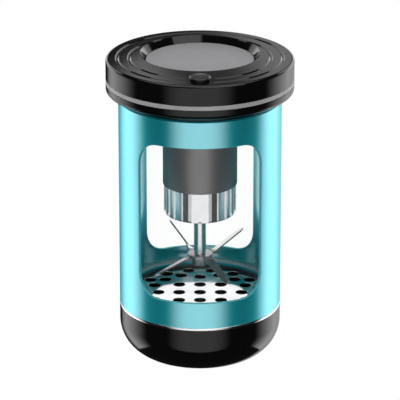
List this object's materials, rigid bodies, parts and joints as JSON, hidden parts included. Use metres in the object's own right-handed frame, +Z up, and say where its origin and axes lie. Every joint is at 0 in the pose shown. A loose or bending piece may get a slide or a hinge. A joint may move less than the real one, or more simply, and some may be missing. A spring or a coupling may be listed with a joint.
{
  "type": "cordless electric herb grinder",
  "caption": "Cordless herb grinder: motor head with hanging bent blades, glass chamber in a windowed metal sleeve, sieve and collecting cup.",
  "frame": {"origin": "centre of the face that the grinder stands on", "axes": "+Z up along the sleeve's axis, -Y towards the front, where the button is, +X to the right seen from the front"},
  "size_m": [0.069, 0.069, 0.1169],
  "materials": {
    "black_plastic": "glossy black moulding",
    "bright_chrome": "bright chrome",
    "black_rubber": "matt black rubber",
    "polished_steel": "polished stainless steel",
    "turquoise_metal": "turquoise anodised metal, satin to gloss",
    "clear_glass": "clear glass",
    "clear_silicone": "translucent silicone",
    "silver_band": "satin silver band",
    "label_grey": "grey satin label, left blank",
    "screw_steel": "zinc-plated steel",
    "board_green": "circuit board",
    "cell_foil": "foil pouch",
    "lead_red": "wire insulation",
    "lead_black": "wire insulation",
    "led_white": "light-emitting diode",
    "black_nylon": "moulded nylon",
    "white_nylon": "moulded nylon",
    "nose_grey": "satin grey",
    "bronze": "sintered bronze",
    "motor_steel": "plated steel",
    "magnet_ferrite": "ferrite magnet",
    "carbon": "carbon",
    "copper": "copper"
  },
  "bodies": {
    "base": {"base_cup": "black_plastic", "base_ring": "bright_chrome", "base_seal": "black_rubber", "foot_pad": "black_rubber"},
    "chamber": {"sleeve": "turquoise_metal", "glass_chamber": "clear_glass", "lower_gasket": "clear_silicone", "upper_gasket": "clear_silicone", "retaining_ring": "black_plastic", "sieve_carrier": "black_plastic", "sieve_plate": "polished_steel"},
    "head": {"lid_shell": "black_plastic", "lid_trim_ring": "silver_band", "lid_skirt": "black_plastic", "lid_seal": "black_rubber", "label_disc": "label_grey", "lid_screws": "screw_steel", "circuit_board": "board_green", "battery_cell": "cell_foil", "battery_leads": "lead_red", "charging_port": "screw_steel", "charge_led": "led_white", "tact_switch": "black_nylon", "return_dome": "black_rubber", "motor_nose": "nose_grey", "nose_screws": "screw_steel", "ribbed_collar": "bright_chrome", "shaft_seal": "black_rubber", "shaft_bush": "bronze", "motor_can": "motor_steel", "motor_end_cap": "white_nylon", "motor_magnets": "magnet_ferrite", "motor_brushes": "carbon", "front_bush": "bronze", "rear_bush": "bronze", "motor_screws": "screw_steel", "motor_leads": "lead_black"},
    "spindle": {"armature_core": "motor_steel", "armature_windings": "copper", "commutator": "copper", "motor_shaft": "polished_steel", "shaft_coupling": "bronze", "coupling_screws": "screw_steel", "drive_shaft": "polished_steel", "upper_blade": "polished_steel", "lower_blade": "polished_steel", "blade_washer": "polished_steel", "blade_nut": "polished_steel"},
    "button": {"power_button": "black_plastic", "switch_plunger": "white_nylon"}
  },
  "joints": [
    {"name": "chamber_lift", "type": "slide", "parent": "base", "child": "chamber", "axis": [0, 0, 1], "range_m": [0, 0.03]},
    {"name": "head_lift", "type": "slide", "parent": "chamber", "child": "head", "axis": [0, 0, 1], "range_m": [0, 0.08]},
    {"name": "spindle_spin", "type": "hinge", "parent": "head", "child": "spindle", "pos_m": [0, 0, 0.07], "axis": [0, 0, 1], "continuous": true},
    {"name": "button_press", "type": "slide", "parent": "head", "child": "button", "axis": [0, 0, -1], "range_m": [0, 0.0006], "stiffness_N_per_m": 1500, "deforming": ["return_dome"]}
  ]
}
